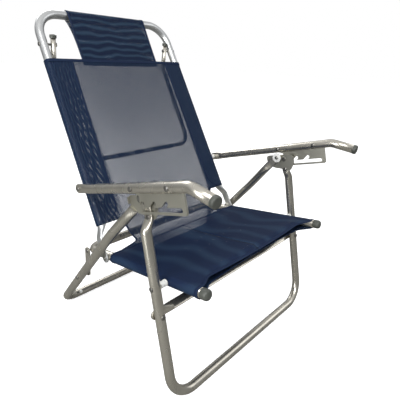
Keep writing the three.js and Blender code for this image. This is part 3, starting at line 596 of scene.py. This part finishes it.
def add_fittings(name):
    for node_name, body in ((f"bracket_rivet_{name}", "front_frame"),
                            (f"leg_pivot_rivet_{name}", "rear_leg"), (f"seat_rivet_{name}", "seat"),
                            (f"strut_rivet_{name}", "seat"), (f"hinge_rivet_{name}", "back"),
                            (f"plate_rivet_rear_{name}", f"arm_{name}"),
                            (f"plate_rivet_front_{name}", f"arm_{name}"),
                            (f"arm_rivet_{name}", f"arm_{name}"), (f"prop_rivet_{name}", "prop")):
        add_across_rivet(node_name, body)
    add_turned(f"latch_pin_{name}", "front_frame", RIVET, "rivet",
               [(0, 0), (0, 0.006), (0.2, 0.006), (0.2, 0.004), (1, 0.004), (1, 0)], 0.0006)
    add_turned(f"strut_pin_{name}", "rear_leg", RIVET, "rivet",
               [(0, 0), (0, 0.004), (0.94, 0.004), (0.94, 0.006), (1, 0.005), (1, 0)], 0.0006)
    add_turned(f"pivot_disc_{name}", "rear_leg", NYLON, "nylon",
               [(0, 0), (0, 0.009), (0.25, 0.0095), (0.25, 0.0135), (1, 0.0135), (1, 0)], 0.0006)
    # The outer disc is the white nylon disc seen in shade; its dark cap plastic is painted shade.
    add_turned(f"outer_disc_{name}", "rear_leg", CAP, "end_cap",
               [(0, 0), (0, 0.009), (0.8, 0.009), (1, 0.0075), (1, 0)], 0.0008)
    add_turned(f"seat_spacer_{name}", "seat", NYLON, "nylon",
               [(0, 0), (0, 0.0075), (0.3, 0.0075), (0.34, 0.0068), (0.66, 0.0068), (0.7, 0.0075),
                (1, 0.0075), (1, 0)], 0.0005)
    add_turned(f"arm_spacer_{name}", f"arm_{name}", NYLON, "nylon",
               [(0, 0), (0, 0.007), (1, 0.007), (1, 0)], 0.0006)
    end = middle_of(f"seat_cap_{name}")
    lathe(f"seat_end_{name}", end - seat_forward * 0.0015, seat_forward,
          [(0, 0.0), (0, 0.0118), (0.012, 0.0118), (0.0155, 0.0106), (0.0178, 0.0062), (0.0185, 0.0)],
          "seat", CAP, bevel=0.0022, replaces=(f"seat_cap_{name}",), slot="end_cap")
    bumper = middle_of(f"bumper_{name}")
    way = Vector((0, -0.8, 0.6))
    lathe(f"bumper_{name}_turned", bumper - way * 0.003, way,
          [(0, 0.0), (0, 0.005), (0.0038, 0.005), (0.0058, 0.0034), (0.0062, 0.0)], "rear_leg",
          NYLON, bevel=0.0008, replaces=(f"bumper_{name}",), slot="nylon")


def finish_cad_nodes():
    """The plates, brackets and struts keep their CAD shape, with broken edges and a finish."""
    kept = {"ratchet_plate": PLATE, "leg_bracket": PLATE, "rear_strut": ALUMINIUM}
    for kind, material in kept.items():
        for name, _ in SIDES:
            piece = frame["nodes"][f"{kind}_{name}"]
            piece.data.materials.clear()
            piece.data.materials.append(material)
            edge = piece.modifiers.new("broken_edges", "BEVEL")
            edge.width = 0.00035
            edge.segments = 2
            edge.limit_method = "ANGLE"
            edge.angle_limit = math.radians(40)


# ---- Mesh cloth --------------------------------------------------------------------------------


def grid(name, rows, body, material, replaces=(), thickness=SHEET):
    """A sheet through rows of points, with its weave laid out at true size, and a thickness."""
    count = len(rows[0])
    verts = [p for row in rows for p in row]
    uvs = []
    down = 0.0
    for r, row in enumerate(rows):
        if r:
            middle = count // 2
            down += (row[middle] - rows[r - 1][middle]).length
        along = -sum((b - a).length for a, b in zip(row, row[1:])) / 2
        for c, p in enumerate(row):
            if c:
                along += (p - row[c - 1]).length
            uvs.append((along, down))
    faces = [(r * count + c, r * count + c + 1, (r + 1) * count + c + 1, (r + 1) * count + c)
             for r in range(len(rows) - 1) for c in range(count - 1)]
    piece = new_piece(name, verts, faces, body, material, replaces, "mesh_fabric", uvs)
    solid = piece.modifiers.new("cloth_thickness", "SOLIDIFY")
    solid.thickness = thickness
    solid.offset = 0.0
    return piece


def bend_between(piece):
    """Settles a sheet's thickness and its place into its mesh, for a sheet that spans the joint of two
    bodies.
    """
    bpy.context.view_layer.update()
    final = piece.evaluated_get(bpy.context.evaluated_depsgraph_get())
    piece.data = bpy.data.meshes.new_from_object(final)
    piece.modifiers.clear()
    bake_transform(piece)


def arc(centre, radius, start, end, steps):
    return [(centre[0] + radius * math.cos(start + (end - start) * k / steps),
             centre[1] + radius * math.sin(start + (end - start) * k / steps))
            for k in range(steps + 1)]


PANEL_LOW, PANEL_HIGH = 0.080, 0.509
SEAM_LOW, SEAM_HIGH = 0.175, 0.1586
SEWN_BEHIND = 0.0022  # how far behind the front layer a pocket's rear layer is sewn


def back_section(up):
    """Half of the back's mesh in section, (across, front), from the middle out and back."""
    part = (up - PANEL_LOW) / (PANEL_HIGH - PANEL_LOW)
    seam = SEAM_LOW + (SEAM_HIGH - SEAM_LOW) * part
    tube_at = back_across(up)
    radius = SLEEVE + SHEET / 2
    front = [(tube_at * k / 24, radius) for k in range(24)]
    sewn = radius - SEWN_BEHIND
    leave = math.atan2(sewn, seam - tube_at)
    leave += math.acos(radius / math.hypot(seam - tube_at, sewn)) - 2 * math.pi
    turn = arc((tube_at, 0), radius, math.pi / 2, leave, 14)
    x0, y0 = turn[-1]
    rear = [(x0 + (seam - x0) * k / 8, y0 + (sewn - y0) * k / 8) for k in range(1, 9)]
    return front + turn + rear


def add_back_panel():
    rows = []
    count = 60
    for r in range(count + 1):
        up = PANEL_HIGH + (PANEL_LOW - PANEL_HIGH) * r / count
        half = back_section(up)
        whole = [(-x, y) for x, y in reversed(half[1:])] + half
        rows.append([on_back(up, y, x) for x, y in whole])
    panel = grid("back_cloth", rows, "back", BACK_CLOTH, ("back_panel",))
    hems = [add_back_hem("back_hem_top", PANEL_HIGH, -0.008)]
    hems += [add_seam(name, s) for name, s in SIDES]


def add_back_hem(name, edge, depth):
    """The folded hem along an edge of the back, from tube to tube."""
    rows = []
    for k in range(5):
        up = edge + depth * k / 4
        half = [(x, y + 0.0007) for x, y in back_section(up) if y > SLEEVE * 0.35]
        half = [(x * 1.003, y) for x, y in half]
        whole = [(-x, y) for x, y in reversed(half[1:])] + half
        rows.append([on_back(up, y, x) for x, y in whole])
    return grid(name, rows, "back", HEM, thickness=0.0012)


def add_seam(name, s):
    """The sewn strip where a side pocket's rear layer meets the front layer."""
    rows = []
    for k in range(41):
        part = k / 40
        up = PANEL_LOW + 0.004 + (PANEL_HIGH - PANEL_LOW - 0.012) * part
        seam = SEAM_LOW + (SEAM_HIGH - SEAM_LOW) * part
        seam += 0.03 * max(0.0, 1 - part * 12) ** 2
        front = SLEEVE + SHEET + 0.0003
        rows.append([on_back(up, front, s * (seam + d)) for d in (0.0, 0.002, 0.004, 0.006)])
    return grid(f"back_seam_{name}", rows, "back", HEM, thickness=0.0009)


HEADREST_HALF = 0.127
HEADREST_LOW = 0.495
HEADREST_STEPS = 22


def headrest_profile():
    """The headrest in section, (height from the top tube's axis, front): up the front, over the
    tube, and down behind it."""
    radius = SLEEVE + SHEET / 2
    drop = back_length - HEADREST_LOW
    front_low, rear_low = 0.0092, 0.0062
    steps = HEADREST_STEPS
    front = [(-drop + drop * k / steps, front_low + (radius - front_low) * (k / steps) ** 3)
             for k in range(steps)]
    loop = arc((0, 0), radius, math.pi / 2, -math.pi * 0.68, 18)
    x0, y0 = loop[-1]
    reach = -drop - x0
    rear = [(x0 + reach * k / steps, rear_low + (y0 - rear_low) * (1 - k / steps) ** 4)
            for k in range(1, steps + 1)]
    return front + loop + rear


def add_headrest_hem(name, s, profile):
    """The hem along a side edge of the headrest, from its lower front edge to behind the tube."""
    edge = []
    for x, y in profile[:HEADREST_STEPS + 8]:
        edge.append([on_back(back_length + x, y + 0.0008, s * (HEADREST_HALF - d))
                     for d in (-0.0005, 0.003, 0.006)])
    return grid(f"headrest_hem_{name}", edge, "back", HEM, thickness=0.001)


def add_headrest():
    profile = headrest_profile()
    rows = []
    for x, y in profile:
        pinch = 0.004 * smoothstep(-x, 0.0, 0.06)
        half = HEADREST_HALF * (1 - pinch)
        rows.append([on_back(back_length + x, y, half * w) for w in np.linspace(-1, 1, 41).tolist()])
    band = grid("headrest_cloth", rows, "back", HEADREST_CLOTH, ("headrest_band",))
    hems = [add_headrest_hem(name, s, profile) for name, s in SIDES]


SEAT_FRONT, SEAT_REAR = 0.3068, 0.0172  # from the hinge along the rails
SEAT_CORNER = 0.022


def seat_edge_inset(across):
    """How far the front edge of the seat draws back between the rails."""
    return SEAT_CORNER * (1 - smoothstep(abs(across), seat_across - 0.055, seat_across - 0.004))


def seat_loop(radius):
    """The seat's mesh in section, (across, rise): a loop round both rails."""
    half_top = [(seat_across * k / 26, radius) for k in range(26)]
    turn = arc((seat_across, 0), radius, math.pi / 2, -math.pi / 2, 14)
    half_low = [(seat_across * (1 - k / 26), -radius) for k in range(1, 27)]
    half = half_top + turn + half_low
    return half + [(-x, y) for x, y in reversed(half[:-1])]


def seat_row(part, offset=0.0):
    """A ring of the seat's mesh, at a part of the way from its rear edge to its front edge."""
    row = []
    for x, y in seat_loop(SLEEVE + SHEET / 2 + offset):
        front = SEAT_FRONT - seat_edge_inset(x)
        forward = SEAT_REAR + (front - SEAT_REAR) * part
        inner = max(0.0, 1 - (x / (seat_across + TUBE)) ** 2)
        closer = smoothstep(part, 0.93, 1.0) * inner
        sag = 0.0035 * inner * math.sin(math.pi * part)
        row.append(on_seat(forward, y * (1 - 0.85 * closer) - sag, x))
    return row


def add_seat_panel():
    count = 56
    rows = [seat_row(r / count) for r in range(count + 1)]
    panel = grid("seat_cloth", rows, "seat", SEAT_CLOTH, ("seat_panel",))
    for name, first, last in (("front", 0.974, 0.9995), ("rear", 0.0005, 0.022)):
        strips = [seat_row(first + (last - first) * k / 3, 0.0007) for k in range(4)]
        grid(f"seat_hem_{name}", strips, "seat", HEM, thickness=0.001)


LUMBAR_HALF = 0.150


def add_lumbar():
    """The mesh that carries on from the back down to the seat, notched round the hinges."""
    top = on_back(PANEL_LOW + 0.002, SLEEVE)
    bottom = on_seat(SEAT_REAR + 0.002, SLEEVE)
    bend = on_seat(SEAT_REAR - 0.030, SLEEVE + 0.004)
    rows = []
    edges = {1: [], -1: []}
    count = 24
    for r in range(count + 1):
        t = r / count
        centre = top * (1 - t) ** 2 + bend * 2 * t * (1 - t) + bottom * t * t
        half = LUMBAR_HALF + 0.024 * (1 - t) ** 2 + 0.060 * smoothstep(t, 0.66, 1.0) ** 2
        rows.append([centre + X * half * w for w in np.linspace(-1, 1, 37)])
        lift = seat_up * 0.0007
        for s, edge in edges.items():
            edge.append([centre + lift + X * s * (half + d) for d in (0.001, -0.002, -0.0045)])
    strip = grid("lumbar_cloth", rows, None, BACK_CLOTH, ("lumbar_strip",))
    hems = [grid(f"lumbar_hem_{name}", edges[s], None, HEM, thickness=0.0014) for name, s in SIDES]
    for piece in (strip, *hems):
        bend_between(piece)


# ---- Camera, light and floor -------------------------------------------------------------------

EYE = Vector((-0.6726, -0.6609, 0.7106))
VIEW_YAW, VIEW_PITCH, VIEW_ROLL = 0.846, -0.382, 0.057
FOCAL = 0.9089  # of the picture's width


def add_camera():
    camera = bpy.data.cameras.new("camera")
    camera.sensor_width = 36.0
    camera.lens = FOCAL * camera.sensor_width
    camera.clip_start = 0.01
    holder = bpy.data.objects.new("camera", camera)
    bpy.context.collection.objects.link(holder)
    ahead = Vector((math.sin(VIEW_YAW) * math.cos(VIEW_PITCH),
                    math.cos(VIEW_YAW) * math.cos(VIEW_PITCH), math.sin(VIEW_PITCH)))
    level = Vector((math.cos(VIEW_YAW), -math.sin(VIEW_YAW), 0))
    upright = level.cross(ahead)
    right = level * math.cos(VIEW_ROLL) + upright * math.sin(VIEW_ROLL)
    up = upright * math.cos(VIEW_ROLL) - level * math.sin(VIEW_ROLL)
    holder.matrix_world = Matrix.Translation(EYE) @ Matrix((right, up, -ahead)).transposed().to_4x4()
    bpy.context.scene.camera = holder


def add_area(name, place, target, size, power):
    light = bpy.data.lights.new(name, "AREA")
    light.shape = "RECTANGLE"
    light.size, light.size_y = size
    light.energy = power
    holder = bpy.data.objects.new(name, light)
    bpy.context.collection.objects.link(holder)
    holder.location = place
    holder.rotation_euler = (Vector(target) - Vector(place)).to_track_quat("-Z", "Y").to_euler()


def add_world():
    world = bpy.data.worlds.new("studio")
    bpy.context.scene.world = world
    world.use_nodes = True
    tree = world.node_tree
    tree.nodes.clear()
    ray = node(tree, "ShaderNodeLightPath")
    seen = node(tree, "ShaderNodeBackground", {"Color": (1, 1, 1, 1), "Strength": 1.0})
    around = node(tree, "ShaderNodeTexCoord").outputs["Generated"]
    height = node(tree, "ShaderNodeSeparateXYZ", {"Vector": around}).outputs["Z"]
    sky = ramp(tree, height, ((0.0, (0.26, 0.265, 0.27)), (0.25, (0.36, 0.37, 0.38)),
                              (0.5, (0.65, 0.66, 0.68)), (0.9, (0.9, 0.9, 0.9))))
    room = node(tree, "ShaderNodeBackground", {"Color": sky, "Strength": 0.8})
    mix = node(tree, "ShaderNodeMixShader", {0: ray.outputs["Is Camera Ray"],
                                             1: room.outputs[0], 2: seen.outputs[0]})
    out = node(tree, "ShaderNodeOutputWorld")
    tree.links.new(mix.outputs[0], out.inputs["Surface"])


FLOOR_GLOW = 0.62  # what the camera sees besides the light that falls on it


def add_stage():
    floor_material, tree, bsdf = shader("pale_floor", Roughness=0.9)
    bsdf.inputs["Emission Color"].default_value = (1, 1, 1, 1)
    bsdf.inputs["Specular IOR Level"].default_value = 0.1
    seen = node(tree, "ShaderNodeLightPath").outputs["Is Camera Ray"]
    tree.links.new(ramp(tree, seen, ((0.0, (0.22, 0.22, 0.21)), (1.0, (0.86, 0.86, 0.86)))),
                   bsdf.inputs["Base Color"])
    glow = node(tree, "ShaderNodeMath", {0: seen, 1: FLOOR_GLOW}, operation="MULTIPLY")
    tree.links.new(glow.outputs[0], bsdf.inputs["Emission Strength"])
    size = 14.0
    mesh = bpy.data.meshes.new("floor")
    mesh.from_pydata([(-size, -size, 0), (size, -size, 0), (size, size, 0), (-size, size, 0)], [],
                     [(0, 1, 2, 3)])
    mesh.materials.append(floor_material)
    floor = bpy.data.objects.new("floor", mesh)
    bpy.context.collection.objects.link(floor)
    add_area("key", (-1.6, -1.9, 2.6), (0, 0, 0.35), (1.6, 1.2), 62)
    add_area("fill", (1.9, -1.4, 1.6), (0, 0, 0.4), (1.4, 1.4), 8)
    add_area("low", (-1.7, -0.2, 0.7), (0, 0, 0.25), (0.6, 1.1), 18)
    add_area("rim", (0.4, 2.2, 2.2), (0, 0, 0.5), (1.8, 0.8), 24)
    add_world()
    bpy.context.scene.view_settings.view_transform = "Standard"


# ---- The chair ---------------------------------------------------------------------------------

add_camera()
add_stage()
add_legs()
add_cross_tube()
add_seat_frame()
add_back_frame()
add_prop()
add_cross_rivets()
for side_name, side in SIDES:
    add_arm(side_name, side)
    add_fittings(side_name)
finish_cad_nodes()
add_back_panel()
add_headrest()
add_seat_panel()
add_lumbar()
